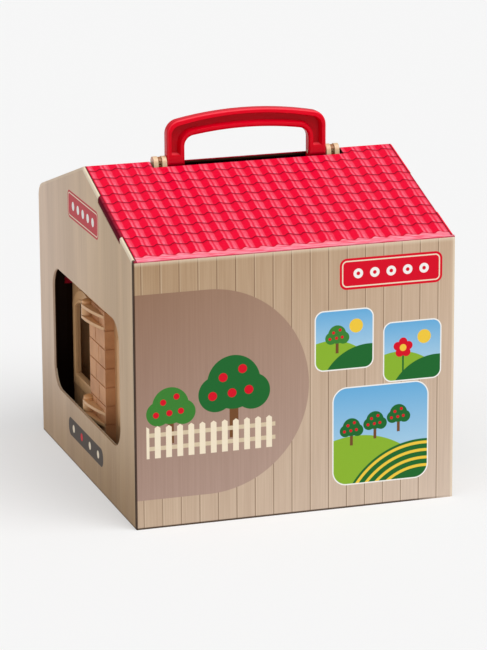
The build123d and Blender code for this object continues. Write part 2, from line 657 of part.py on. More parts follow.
def door_pintles():
    """Rings on the near half of the gable above and below each knuckle, with the pin."""
    pintles = Part()
    for height in DOOR_HINGE_HEIGHTS:
        low, high = BASE_Z + height - DOOR_HINGE / 2, BASE_Z + height + DOOR_HINGE / 2
        ring = disc(DOOR_PIN_X, -DOOR_PIN_Y, EYE_R)
        ring += rectangle(FRONT_X, DOOR_PIN_X, -DOOR_PIN_Y - PINTLE_R, -DOOR_PIN_Y + PINTLE_R)
        pin = along_z(disc(DOOR_PIN_X, -DOOR_PIN_Y, PINTLE_R), low, high)
        pintles += pin + along_z(ring, low, low + RING_HEIGHT) + along_z(ring, high - RING_HEIGHT, high)
        pintles += along_x(hinge_arms(low, high, -1), FRONT_X, FRONT_X + ARM)
    return pintles


def door_pull():
    """Bowed grip near the free edge of the far leaf."""
    middle = BASE_Z + PULL_HEIGHT

    def hump(half, reach):
        low, high = (DOOR_FACE, middle - half), (DOOR_FACE, middle + half)
        return make_face([ThreePointArc(low, (DOOR_FACE + reach, middle), high), Line(high, low)])

    grip = hump(PULL / 2, PULL_REACH) - hump(PULL / 2 - PULL_THICK, PULL_REACH - PULL_THICK)
    edge = DOOR_GAP + PULL_INSET
    return along_y(grip, edge, edge + PULL_WIDTH)


# ---- drop bar ---------------------------------------------------------------------------------
def drop_bar():
    """Bar raised past upright; it falls across the near leaf into its keeper."""
    bar = rectangle(-BAR_WIDTH / 2, BAR_WIDTH / 2, 0, BAR_LENGTH)
    bar += disc(0, 0, BOSS_R) + disc(0, BAR_LENGTH, BAR_WIDTH / 2)
    bar -= disc(0, 0, BAR_PIN_R + PIN_CLEARANCE)
    placed = Pos(-BAR_PIVOT_Y, BAR_PIVOT_Z) * Rot(0, 0, BAR_LEAN) * bar
    return along_x(placed, FRONT_X + BAR_BACK, FRONT_X + BAR_FRONT)


def drop_bar_pivot():
    shaft = along_x(disc(-BAR_PIVOT_Y, BAR_PIVOT_Z, BAR_PIN_R), FRONT_X,
                    FRONT_X + BAR_FRONT + RUNNING_GAP)
    head = along_x(disc(-BAR_PIVOT_Y, BAR_PIVOT_Z, BAR_HEAD_R), FRONT_X + BAR_FRONT + RUNNING_GAP,
                   FRONT_X + BAR_FRONT + RUNNING_GAP + BAR_HEAD)
    return shaft + head


def drop_bar_keeper():
    """Hook on the near leaf that the end of the fallen bar lies in."""
    high = -BAR_PIVOT_Y + BAR_LENGTH + KEEPER_GRASP
    seat = BAR_PIVOT_Z - BAR_WIDTH / 2 - RUNNING_GAP
    reach, back = FRONT_X + KEEPER_REACH, DOOR_FACE + KEEPER_WALL
    hook = outline((DOOR_FACE, seat - 2 * KEEPER_WALL), (reach, seat - KEEPER_WALL),
                   (reach, seat + KEEPER_LIP), (reach - KEEPER_WALL, seat + KEEPER_LIP),
                   (reach - KEEPER_WALL, seat), (back, seat),
                   (back, seat + KEEPER_LIP + KEEPER_WALL), (DOOR_FACE, seat + KEEPER_LIP + KEEPER_WALL))
    return along_y(hook, high - KEEPER_WIDTH, high)


# ---- handle -----------------------------------------------------------------------------------
def bow(half, foot, crown, camber, corner):
    """Face with upright sides and a cambered, round-shouldered top, about HANDLE_X."""
    left, right = HANDLE_X - half, HANDLE_X + half
    face = make_face([
        Line((left, crown - camber), (left, foot)),
        Line((left, foot), (right, foot)),
        Line((right, foot), (right, crown - camber)),
        ThreePointArc((right, crown - camber), (HANDLE_X, crown), (left, crown - camber)),
    ])
    return fillet(face.vertices().sort_by(Axis.Y)[-2:], corner)


def handle():
    """Arched carrying handle, channelled on its front, on two pins."""
    half, top = HANDLE_WIDTH / 2, PIVOT_Z + HANDLE_RISE
    thick = HANDLE_THICK / 2
    foot = PIVOT_Z - HANDLE_THICK
    inner_half = half - HANDLE_FOOT
    inner_camber = HANDLE_CAMBER * (inner_half / half) ** 2
    outer = bow(half, foot, top, HANDLE_CAMBER, SHOULDER_R)
    inner = bow(inner_half, foot - PAST, top - GRIP, inner_camber, INNER_R)
    solid = along_y(outer - inner, -thick, thick)
    front_edges = solid.edges().filter_by_position(Axis.Y, -thick, -thick)
    front_edges += solid.edges().filter_by_position(Axis.Y, thick, thick)
    solid = fillet([e for e in front_edges if e.center().Z > PIVOT_Z], HANDLE_ROUND)
    side = rectangle(-thick, thick, PIVOT_Z, top + PAST) + disc(0, PIVOT_Z, thick)
    solid &= along_x(side, HANDLE_X - half - PAST, HANDLE_X + half + PAST)
    channel = bow(half - HANDLE_RIM, foot, top - HANDLE_RIM, HANDLE_CAMBER, SHOULDER_R - HANDLE_RIM)
    channel -= bow(inner_half + HANDLE_RIM, foot - PAST, top - GRIP + HANDLE_RIM, inner_camber,
                   INNER_R + HANDLE_RIM)
    channel &= rectangle(HANDLE_X - half, HANDLE_X + half, PIVOT_Z + CHANNEL_FOOT, top)
    mouth = Pos(0, -thick, 0) * (Plane.XZ * channel)
    hollow = extrude(mouth, amount=-CHANNEL_DEPTH, taper=CHANNEL_DRAFT)
    solid -= hollow + along_y(channel, -thick - PAST, -thick)
    bore = disc(0, PIVOT_Z, HANDLE_PIN_R + PIN_CLEARANCE)
    return solid - along_x(bore, HANDLE_X - half - PAST, HANDLE_X + half + PAST)


def bracket_start(side):
    """Low x of the bracket at one end of the handle; side is -1 or +1."""
    outside = HANDLE_WIDTH / 2 + RUNNING_GAP
    return HANDLE_X + outside if side > 0 else HANDLE_X - outside - BRACKET


def slope_foot():
    """(Y, Z) profile of the pad under a bracket or tongue, on the near slope."""
    return outline(on_slope(SEAM, 0), on_slope(BRACKET_FOOT, TILE_STEP),
                   on_slope(BRACKET_FOOT, TILE_STEP + BRACKET_BASE), on_slope(SEAM, BRACKET_BASE))


def handle_bracket(side):
    """Pad and two ears on the near slope that carry one end of the handle."""
    start = bracket_start(side)
    cheek = outline(on_slope(SEAM, 0), on_slope(RIDGE_BAND, 0), (-EAR_R, PIVOT_Z), (0, PIVOT_Z))
    ear = cheek + disc(0, PIVOT_Z, EAR_R)
    bracket = along_x(slope_foot(), start, start + BRACKET)
    bracket += along_x(ear, start, start + EAR)
    bracket += along_x(ear, start + BRACKET - EAR, start + BRACKET)
    bracket -= along_x(outline(*tiled_edge(), (-EAVE_HALF, BASE_Z), (-SEAM / 2, BASE_Z)),
                       start - PAST, start + BRACKET + PAST)
    bore = disc(0, PIVOT_Z, HANDLE_PIN_R + PIN_CLEARANCE)
    return bracket - along_x(bore, start - PAST, start + BRACKET + PAST)


def latch_tongue(side):
    """Hook of the far half that closes over the pin between two ears."""
    start = bracket_start(side)
    low = start + EAR + TONGUE_SIDE
    high = start + BRACKET - EAR - TONGUE_SIDE
    cheek = outline(on_slope(SEAM, 0), on_slope(RIDGE_BAND, 0), (-TONGUE_R, PIVOT_Z), (0, PIVOT_Z))
    mouth = HANDLE_PIN_R + PIN_CLEARANCE
    tongue = along_x(cheek + disc(0, PIVOT_Z, TONGUE_R), low, high)
    tongue += along_x(slope_foot(), start, start + BRACKET)
    tongue -= along_x(outline(*tiled_edge(), (-EAVE_HALF, BASE_Z), (-SEAM / 2, BASE_Z)),
                      start - PAST, start + BRACKET + PAST)
    throat = disc(0, PIVOT_Z, mouth) + rectangle(0, TONGUE_R + PAST, PIVOT_Z - mouth, PIVOT_Z + mouth)
    return far_side(tongue - along_x(throat, low - PAST, high + PAST))


def handle_pins():
    """One pin at each end, from the handle's foot out through its bracket."""
    pins = Part()
    for side in (-1, 1):
        start = bracket_start(side)
        low = start if side < 0 else start - RUNNING_GAP - HANDLE_FOOT
        length = BRACKET + RUNNING_GAP + HANDLE_FOOT
        pins += along_x(disc(0, PIVOT_Z, HANDLE_PIN_R), low, low + length)
    return pins


# ---- carton -----------------------------------------------------------------------------------
def carton_outline():
    """(Y, Z) outline of the closed carton: creased ridge and near eave, rounded far eave."""
    outer = outline((-CARTON_Y, 0), (-CARTON_Y, CARTON_EAVE), (0, CARTON_RIDGE),
                    (CARTON_Y, CARTON_EAVE), (CARTON_Y, 0))
    near_to_far = [v for v in outer.vertices().sort_by(Axis.X) if v.Y > CARTON_EAVE / 2]
    outer = fillet(near_to_far[:2], CREASE_R)
    far = outer.vertices().sort_by(Axis.X)[-2:].sort_by(Axis.Y)[-1]
    return fillet(far, EAVE_BEND)


def carton_wrap():
    """One board folded into front wall, two roof panels and back wall, with its tabs."""
    side = CARTON_Y - BOARD
    hollow = outline((-side, -PAST), (-side, board_under(side)), (0, board_under(0)),
                     (side, board_under(side)), (side, -PAST))
    far = hollow.vertices().sort_by(Axis.X)[-2:].sort_by(Axis.Y)[-1]
    hollow = fillet(far, EAVE_BEND - BOARD)
    wrap = along_x(carton_outline() - hollow, -CARTON_X, CARTON_X)
    past_front = rectangle(-side, CARTON_Y + PAST, -PAST, CARTON_RIDGE + PAST)
    reach = CARTON_X - BOARD - ROOF_END_GAP
    wrap -= along_x(past_front, -CARTON_X - PAST, -reach) + along_x(past_front, reach, CARTON_X + PAST)
    wrap -= block(HANDLE_X - SLOT_HALF_X, HANDLE_X + SLOT_HALF_X, -SLOT_HALF_Y, SLOT_HALF_Y,
                  CARTON_EAVE, CARTON_RIDGE + PAST)
    tab = roof_tab()
    return wrap + tab + mirror(tab, about=Plane.YZ)


def roof_tab():
    """Tab at the window end of the near roof panel, folded in behind the gable panel."""
    start, end = -TAB_START, -TAB_START - TAB_LENGTH

    def band(top, depth):
        return outline((start, top(start)), (end, top(end)),
                       (end, board_under(end) - depth), (start, board_under(start) - depth))

    behind = -CARTON_X + BOARD + TAB_PLAY
    fold = along_x(band(board_top, TAB_NOTCH - TAB_PLAY), -CARTON_X + TAB_PLAY, behind + BOARD)
    rim = fold.edges().sort_by(Axis.X)[:4].sort_by(SortBy.LENGTH)[-2:].sort_by(Axis.Z)[-1]
    return fillet(rim, TAB_ROUND) + along_x(band(board_under, TAB_DROP), behind, behind + BOARD)


def gable_panel(cut):
    """Gable of the carton at -X with its cut-out, notched for the tab, with glue flaps."""
    beside_front = rectangle(-CARTON_Y + BOARD + CORNER_GAP, CARTON_Y, 0, CARTON_RIDGE)
    panel = along_x(carton_outline() & beside_front, -CARTON_X, -CARTON_X + BOARD)
    rims = panel.edges().filter_by_position(Axis.X, -CARTON_X, -CARTON_X)
    low_or_near = [e for e in rims if e.center().Z < BOARD or e.center().Y < -CARTON_Y + 2 * BOARD]
    panel = fillet([e for e in rims if e not in low_or_near], FOLD_R)
    start, end = -(TAB_START - TAB_PLAY), -(TAB_START + TAB_LENGTH + TAB_PLAY)
    notch = outline((start, board_top(start) + PAST), (end, board_top(end) + PAST),
                    (end, board_under(end) - TAB_NOTCH), (start, board_under(start) - TAB_NOTCH))
    panel -= along_x(cut + notch, -CARTON_X - PAST, -CARTON_X + BOARD + PAST)
    wall = CARTON_Y - BOARD
    low, high = BOARD + FLAP_LIFT, CARTON_EAVE - EAVE_BEND
    flap = block(-CARTON_X + BOARD, -CARTON_X + BOARD + FLAP, -wall, BOARD - wall, low, high)
    return panel + flap + far_side(flap)


def window_gable():
    cut = rectangle(-VIEW_WIDTH / 2, VIEW_WIDTH / 2, VIEW_SILL, VIEW_HEAD)
    return gable_panel(fillet(cut.vertices(), CUT_CORNER_R))


def door_gable():
    cut = rectangle(-EXIT_WIDTH / 2, EXIT_WIDTH / 2, -EXIT_HEAD, EXIT_HEAD)
    cut = fillet(cut.vertices(), CUT_CORNER_R)
    return mirror(gable_panel(cut), about=Plane.YZ)


def carton_base():
    """Loose base board with two folded strips that hold the barn's long walls."""
    x, y = CARTON_X - BOARD - BASE_PLAY, CARTON_Y - BOARD - BASE_PLAY
    sheet = block(-x, x, -y, y, 0, BOARD)
    strip_y = WALL_HALF + RUNNING_GAP
    near = block(BACK_X + UPSTAND_END, FRONT_X - UPSTAND_END, -strip_y - BOARD, -strip_y,
                 BOARD, BOARD + UPSTAND)
    return sheet + near + far_side(near)


# ---- the parts ----------------------------------------------------------------------------------
def all_parts():
    parts = {
        "carton_wrap": carton_wrap(),
        "carton_window_gable": window_gable(),
        "carton_door_gable": door_gable(),
        "carton_base": carton_base(),
        "near_front_gable": near_front_gable(),
        "far_front_gable": far_side(front_gable()),
        "chimney": chimney(),
        "chimney_cap": chimney_cap(),
        "near_hinge_plates": hinge_plates(),
        "far_hinge_knuckles": hinge_knuckles(),
        "lower_hinge_pin": hinge_pin(HINGE_HEIGHTS[0]),
        "upper_hinge_pin": hinge_pin(HINGE_HEIGHTS[1]),
        "drop_bar": drop_bar(),
        "drop_bar_pivot": drop_bar_pivot(),
        "drop_bar_keeper": drop_bar_keeper(),
        "far_door_pull": door_pull(),
        "carry_handle": handle(),
        "left_handle_bracket": handle_bracket(-1),
        "right_handle_bracket": handle_bracket(1),
        "left_latch_tongue": latch_tongue(-1),
        "right_latch_tongue": latch_tongue(1),
        "handle_pins": handle_pins(),
    }
    both_halves = {
        "long_wall": long_wall(),
        "back_gable": back_gable(),
        "floor": floor(),
        "roof": roof(),
        "dormer_frame": dormer_frame(),
        "side_window_frames": side_window_frames(),
        "back_window_frame": back_window_frame(),
        "door_arch": door_arch(),
        "door": door(),
        "door_straps": door_straps(),
        "door_pintles": door_pintles(),
    }
    for name, shape in both_halves.items():
        parts["near_" + name] = shape
        parts["far_" + name] = far_side(shape)
    return parts


os.makedirs("parts", exist_ok=True)
for name, shape in all_parts().items():
    export_step(shape, f"parts/{name}.step")
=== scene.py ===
import math

import bpy
from mathutils import Matrix, Vector

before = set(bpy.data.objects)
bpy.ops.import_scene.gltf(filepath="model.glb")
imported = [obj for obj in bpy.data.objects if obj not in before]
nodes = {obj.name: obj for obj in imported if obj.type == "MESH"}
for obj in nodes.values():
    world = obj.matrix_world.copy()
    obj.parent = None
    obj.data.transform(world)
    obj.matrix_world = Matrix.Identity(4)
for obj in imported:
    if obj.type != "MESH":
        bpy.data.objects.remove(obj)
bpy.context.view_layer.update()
scene = bpy.context.scene
scene.view_settings.view_transform = "Standard"

# The barn and its carton are the 44 CAD pieces themselves; this script gives them their
# materials. A print is drawn in its piece's own coordinates, so it moves with the piece.

# ---- sizes shared with the solids, in metres --------------------------------------
WALL_Y = 0.131              # outside of the printed front wall
GABLE_X = 0.120             # outside of a gable panel
RIDGE_Z = 0.2370
EAVE_Z = 0.1960
SLOPE = (RIDGE_Z - EAVE_Z) / WALL_Y
SLOPE_RUN = math.hypot(1, SLOPE)
PRINT_DEPTH = 0.0007        # the printed sheet on the board
BEND_Y, BEND_Z, BEND_R = 0.118, 0.18645, 0.013      # the far roof bends into the back wall
BOARD_THICK = 0.002
GABLE_PRINT = 0.0015        # the printed sheet on a gable panel
HANDLE_X = 0.005            # middle of the handle
GRIP_HALF = 0.056           # half the length of the grip's straight part
GRIP_TOP = 0.262            # the grip's top edges lie above this
HOLLOW_Y = -0.0035          # floor of the hollow in the grip
HOLLOW_FOOT = 0.250         # the lower rim of the hollow lies below this


# ---- shader graphs ------------------------------------------------------------------
class Value:
    """A number in a shader graph, with arithmetic."""

    def __init__(self, graph, socket):
        self.graph, self.socket = graph, socket

    def __add__(self, other): return self.graph.math("ADD", self, other)
    def __radd__(self, other): return self.graph.math("ADD", other, self)
    def __sub__(self, other): return self.graph.math("SUBTRACT", self, other)
    def __rsub__(self, other): return self.graph.math("SUBTRACT", other, self)
    def __mul__(self, other): return self.graph.math("MULTIPLY", self, other)
    def __rmul__(self, other): return self.graph.math("MULTIPLY", other, self)
    def __truediv__(self, other): return self.graph.math("DIVIDE", self, other)
    def __neg__(self): return self.graph.math("MULTIPLY", self, -1.0)
    def __abs__(self): return self.graph.math("ABSOLUTE", self)
    def low(self, other): return self.graph.math("MINIMUM", self, other)
    def high(self, other): return self.graph.math("MAXIMUM", self, other)
    def above(self, other): return self.graph.math("GREATER_THAN", self, other)
    def below(self, other): return self.graph.math("LESS_THAN", self, other)
    def sin(self): return self.graph.math("SINE", self)
    def floor(self): return self.graph.math("FLOOR", self)
    def fraction(self): return self.graph.math("FRACT", self)
    def root(self): return self.graph.math("SQRT", self)

    def clamp(self):
        return self.graph.math("ADD", self, 0.0, clamp=True)

    def fade(self, start, end):
        """0 at start and 1 at end, or the other way round, with a smooth step."""
        n = self.graph.node("ShaderNodeMapRange")
        n.interpolation_type = "SMOOTHSTEP"
        self.graph.put(n.inputs["Value"], self)
        if start < end:
            values = (start, end, 0.0, 1.0)
        else:
            values = (end, start, 1.0, 0.0)
        for k, v in zip(("From Min", "From Max", "To Min", "To Max"), values):
            n.inputs[k].default_value = v
        return Value(self.graph, n.outputs["Result"])


class Graph:
    """A material whose colour, roughness and bump are worked out from object coordinates."""

    def __init__(self, name, roughness=0.5, **sockets):
        self.material = bpy.data.materials.new(name)
        self.material.use_nodes = True
        self.tree = self.material.node_tree
        self.shader = self.tree.nodes["Principled BSDF"]
        self.shader.inputs["Roughness"].default_value = roughness
        for k, v in sockets.items():
            self.shader.inputs[k.replace("_", " ")].default_value = v
        coord = self.node("ShaderNodeTexCoord")
        self.place = coord.outputs["Object"]
        self.x, self.y, self.z = self.split(self.place)
        self.facing = coord.outputs["Normal"]

    def node(self, kind):
        return self.tree.nodes.new(kind)

    def put(self, socket, value):
        if isinstance(value, Value):
            value = value.socket
        if isinstance(value, bpy.types.NodeSocket):
            self.tree.links.new(value, socket)
        else:
            socket.default_value = value

    def split(self, vector):
        n = self.node("ShaderNodeSeparateXYZ")
        self.put(n.inputs[0], vector)
        return [Value(self, s) for s in n.outputs]

    def join(self, x, y, z):
        n = self.node("ShaderNodeCombineXYZ")
        for s, v in zip(n.inputs, (x, y, z)):
            self.put(s, v)
        return n.outputs[0]

    def math(self, operation, a, b=0.0, clamp=False):
        n = self.node("ShaderNodeMath")
        n.operation, n.use_clamp = operation, clamp
        self.put(n.inputs[0], a)
        if len(n.inputs) > 1:
            self.put(n.inputs[1], b)
        return Value(self, n.outputs[0])

    def mix(self, share, a, b):
        """Colour a where share is 0 and colour b where it is 1."""
        n = self.node("ShaderNodeMix")
        n.data_type = "RGBA"
        self.put(n.inputs[0], share)
        self.put(n.inputs[6], a)
        self.put(n.inputs[7], b)
        return n.outputs[2]

    def noise(self, scale, detail=3.0, roughness=0.5, vector=None):
        n = self.node("ShaderNodeTexNoise")
        self.put(n.inputs["Vector"], self.place if vector is None else vector)
        n.inputs["Scale"].default_value = scale
        n.inputs["Detail"].default_value = detail
        n.inputs["Roughness"].default_value = roughness
        return Value(self, n.outputs["Fac"])

    def stretched(self, scale, sx, sy, sz, detail=3.0):
        """Noise drawn out along the axes whose factors are small."""
        return self.noise(scale, detail, vector=self.join(self.x * sx, self.y * sy, self.z * sz))

    def finish(self, colour, roughness=None, height=None, distance=0.0002, strength=1.0,
               edge=0.0):
        self.put(self.shader.inputs["Base Color"], colour)
        if roughness is not None:
            self.put(self.shader.inputs["Roughness"], roughness)
        normal = None
        if edge:
            bevel = self.node("ShaderNodeBevel")
            bevel.samples = 6
            bevel.inputs["Radius"].default_value = edge
            normal = bevel.outputs[0]
        if height is not None:
            bump = self.node("ShaderNodeBump")
            bump.inputs["Strength"].default_value = strength
            bump.inputs["Distance"].default_value = distance
            self.put(bump.inputs["Height"], height)
            if normal is not None:
                self.put(bump.inputs["Normal"], normal)
            normal = bump.outputs[0]
        if normal is not None:
            self.put(self.shader.inputs["Normal"], normal)
        return self.material


def colour(red, green, blue):
    """Linear colour of an sRGB triple from 0 to 255."""
    def linear(c):
        c /= 255
        return c / 12.92 if c <= 0.04045 else ((c + 0.055) / 1.055) ** 2.4
    return (linear(red), linear(green), linear(blue), 1.0)


# ---- flat shapes for prints: each gives a distance, below 0 inside the shape -------------
class Flat:
    """Print shapes in a plane with coordinates u and v in metres."""

    def __init__(self, graph, u, v):
        self.graph, self.u, self.v = graph, u, v

    def disc(self, u, v, r):
        du, dv = self.u - u, self.v - v
        return (du * du + dv * dv).root() - r

    def box(self, u0, u1, v0, v1, r=0.0):
        du = abs(self.u - (u0 + u1) / 2) - ((u1 - u0) / 2 - r)
        dv = abs(self.v - (v0 + v1) / 2) - ((v1 - v0) / 2 - r)
        if not r:
            return du.high(dv)
        du, dv = du.high(0.0), dv.high(0.0)
        return (du * du + dv * dv).root() - r

    def inside(self, distance, soft=0.0002):
        return distance.fade(soft, -soft)


# ---- colours of the carton -----------------------------------------------------------------
# These tones are print with painted shade: darker towards the top and -X of the front and panel,
# and towards the foot and near edge of a gable.
WALL_TOP = (colour(169, 137, 103), colour(201, 173, 147))     # front, at -X and at +X: print with painted shade
WALL_LOW = (colour(194, 169, 146), colour(213, 193, 177))
GABLE_TOP = (colour(212, 183, 149), colour(233, 207, 185))    # gable, near and far: print with painted shade
GABLE_LOW = (colour(158, 124, 82), colour(188, 156, 122))
PANEL_TOP = (colour(145, 111, 88), colour(168, 136, 114))     # half-round panel
PANEL_LOW = (colour(174, 147, 135), colour(186, 160, 148))
LINE = colour(104, 74, 50)
PALE = colour(240, 224, 198)
RED = (0.84, 0.0, 0.034, 1)
RED_DEEP = (0.60, 0.0, 0.022, 1)
RED_LINE = (0.23, 0.0, 0.014, 1)
PINK = (0.90, 0.085, 0.150, 1)
PINK_LIGHT = (0.98, 0.20, 0.29, 1)
PINK_PALE = (0.96, 0.36, 0.44, 1)
# painted shade of the roof tab's fold
TAB_FOLD_SHADE = (0.085, 0.0, 0.010, 1)
SIGN_RED = colour(216, 14, 40)
CREAM = colour(240, 226, 200)
WHITE = colour(244, 242, 238)
SKY = colour(104, 172, 218)
HAZE = colour(186, 216, 232)
GREEN = colour(34, 104, 48)
GRASS = colour(62, 128, 52)
LEAF = colour(138, 178, 50)
YELLOW = colour(240, 200, 66)
APPLE = colour(214, 20, 40)
TRUNK = colour(116, 76, 46)
GREY_PILL = colour(72, 60, 52)
# painted shade: the board's inside is set far darker than bare board, as it lies in shade
RAW_IN_SHADE = colour(58, 35, 22)
# painted light: the cut edge's colour where it faces up, and its painted shade elsewhere
RAW_EDGE_LIT = colour(226, 208, 180)
RAW_SHADE = colour(96, 66, 44)
# painted shade for the gap at the near corner and along the foot of the walls
PAINTED_SHADE = colour(52, 34, 22)

# ---- where the prints lie, in metres -------------------------------------------------------
# A plaque is u0, u1, v0, v1 and its corner radius; dots are the first one, pitch and height.
PLANK_PITCH = 0.01387
TILE_PITCH = 0.01214
TILE_START = -0.0375        # middle of the red of one tile
COURSES = (86.2, 32.9, 1.645)       # course number from the run down the slope
EAVE_BAND = 0.0072          # plain band above the eave
ROOF_END = 0.1167           # the cut end of a roof panel
TAB_X = 0.1176              # the fold of a roof tab starts here
LIP_Z = 0.1905              # lower end of the roof's print on the far bend
TONE_TOP = 0.19             # height of the upper tones of the walls
PANEL_U, PANEL_V, PANEL_R = -0.066, 0.09685, 0.07535        # half-round panel
FRONT_PLAQUE = (0.0325, 0.1105, 0.1630, 0.1860, 0.0055)
FRONT_DOTS = (0.0465, 0.0125, 0.1745)
GABLE_PLAQUE = (-0.041, 0.043, 0.1905, 0.2115, 0.005)
GABLE_DOTS = (-0.026, 0.0135, 0.201)
PILL = (-0.044, 0.052, 0.0195, 0.0335, 0.006)
PILL_DOTS = (-0.030, 0.0227, 0.0265)
PANEL_TREES = ((-0.047, 0.062, 0.066, GREEN), (-0.094, 0.062, 0.045, GRASS))
PANEL_FENCE = (-0.112, -0.016, 0.052, 0.026, 0.0083)
COUNTRY_TILES = ((0.0360, 0.1265, 0.0215, "tree"), (0.0880, 0.1140, 0.0215, "flower"),
                 (0.0640, 0.0540, 0.0360, "fields"))
FLUTE_PITCH = 0.0032        # flutes of the bare board


# ---- materials of the carton ---------------------------------------------------------------
def corners(g, across, along, low, high):
    """Colour between four corner colours, each pair given at across 0 and 1."""
    return g.mix(along, g.mix(across, *low), g.mix(across, *high))


def boards(g, along, seed, base, joint):
    """Printed wooden boards standing side by side, on a base tone."""
    cell = along / PLANK_PITCH + seed
    within = cell.fraction()
    tone = g.noise(1.0, 0.0, vector=g.join(cell.floor() * 7.31, seed, 0.0))
    grain = g.noise(1.0, 4.0, 0.6, vector=g.join(along * 900.0, g.z * 14.0, cell.floor() * 3.7))
    cloud = g.noise(1.0, 2.0, vector=g.join(along * 60.0, g.z * 9.0, 2.0))
    share = grain.fade(0.25, 0.75) * 0.55 + tone * 0.15 + cloud.fade(0.3, 0.7) * 0.30
    base = g.mix(share * 0.20, base, colour(132, 96, 62))
    base = g.mix((1.0 - share) * 0.14, base, colour(246, 226, 196))
    dark = abs(within - 0.5).fade(0.468, 0.490)
    pale = within.fade(0.03, 0.055) * within.fade(0.10, 0.07)
    base = g.mix(pale * (1.1 - tone) * (joint * 0.45), base, PALE)
    return g.mix(dark * (tone + 0.45) * joint, base, LINE), grain


def apple_tree(g, flat, base, u, v, size, crown=GREEN):
    """A round tree with red fruit, as a plain print."""
    base = g.mix(flat.inside(flat.box(u - 0.05 * size, u + 0.05 * size, v, v + 0.5 * size)), base,
                 TRUNK)
    for du, dv, r in ((0, 0.62, 0.3), (-0.2, 0.5, 0.2), (0.21, 0.5, 0.2)):
        base = g.mix(flat.inside(flat.disc(u + du * size, v + dv * size, r * size)), base, crown)
    for du, dv in ((-0.12, 0.68), (0.1, 0.76), (0.17, 0.52), (-0.24, 0.48), (-0.02, 0.5)):
        base = g.mix(flat.inside(flat.disc(u + du * size, v + dv * size, 0.05 * size)), base, APPLE)
    return base


def fence(g, flat, base, u0, u1, v, height, pitch):
    """A picket fence as a plain print."""
    span = flat.inside(flat.box(u0, u1, v - height, v + 2 * height))
    across = abs((flat.u / pitch).fraction() - 0.5) * pitch
    top = v + height * 0.86 + (pitch * 0.25 - across) * 0.7
    picket = across.fade(pitch * 0.27, pitch * 0.25) * (flat.v - top).fade(0.0002, -0.0002) \
        * (flat.v - v).fade(-0.0002, 0.0002)
    rail = flat.inside(flat.box(u0, u1, v + height * 0.22, v + height * 0.34)).high(
        flat.inside(flat.box(u0, u1, v + height * 0.6, v + height * 0.72)))
    base = g.mix(rail * span, base, colour(214, 196, 166))
    return g.mix(picket * span, base, CREAM)


def country_tile(g, flat, base, u, v, half, kind):
    """A rounded square with a small country scene."""
    tile = flat.box(u - half, u + half, v - half, v + half, half * 0.28)
    base = g.mix(flat.inside(tile - 0.0009), base, WHITE)
    scene_colour = g.mix(((flat.v - v) / half * 0.5 + 0.5).clamp(), HAZE, SKY)
    if kind != "fields":
        scene_colour = g.mix(flat.inside(flat.disc(u + 0.42 * half, v + 0.45 * half, 0.24 * half)),
                             scene_colour, YELLOW)
    hill = flat.disc(u - 0.5 * half, v - 1.75 * half, 1.75 * half)
    scene_colour = g.mix(flat.inside(hill), scene_colour, LEAF)
    near_hill = flat.disc(u + 0.9 * half, v - 2.0 * half, 1.8 * half)
    scene_colour = g.mix(flat.inside(near_hill), scene_colour, GREEN)
    if kind == "tree":
        scene_colour = apple_tree(g, flat, scene_colour, u - 0.25 * half, v - 0.45 * half,
                                  1.05 * half, crown=GRASS)
    if kind == "fields":
        for k in range(4):
            row = flat.disc(u + 0.9 * half, v - 2.0 * half, (1.72 - 0.16 * k) * half)
            scene_colour = g.mix(flat.inside(abs(row) - 0.03 * half), scene_colour, YELLOW)
        for k in range(3):
            scene_colour = apple_tree(g, flat, scene_colour, u + (-0.62 + 0.5 * k) * half,
                                      v - (0.2 - 0.1 * k) * half, 0.62 * half)
    if kind == "flower":
        scene_colour = g.mix(flat.inside(flat.box(u - 0.36 * half, u - 0.3 * half, v - 0.8 * half,
                                                  v - 0.05 * half)), scene_colour, GREEN)
        for k in range(5):
            a = math.radians(90 + 72 * k)
            scene_colour = g.mix(flat.inside(flat.disc(
                u + (-0.33 + 0.2 * math.cos(a)) * half, v + (0.12 + 0.2 * math.sin(a)) * half,
                0.15 * half)), scene_colour, APPLE)
        scene_colour = g.mix(flat.inside(flat.disc(u - 0.33 * half, v + 0.12 * half, 0.12 * half)),
                             scene_colour, YELLOW)
    return g.mix(flat.inside(tile), base, scene_colour)


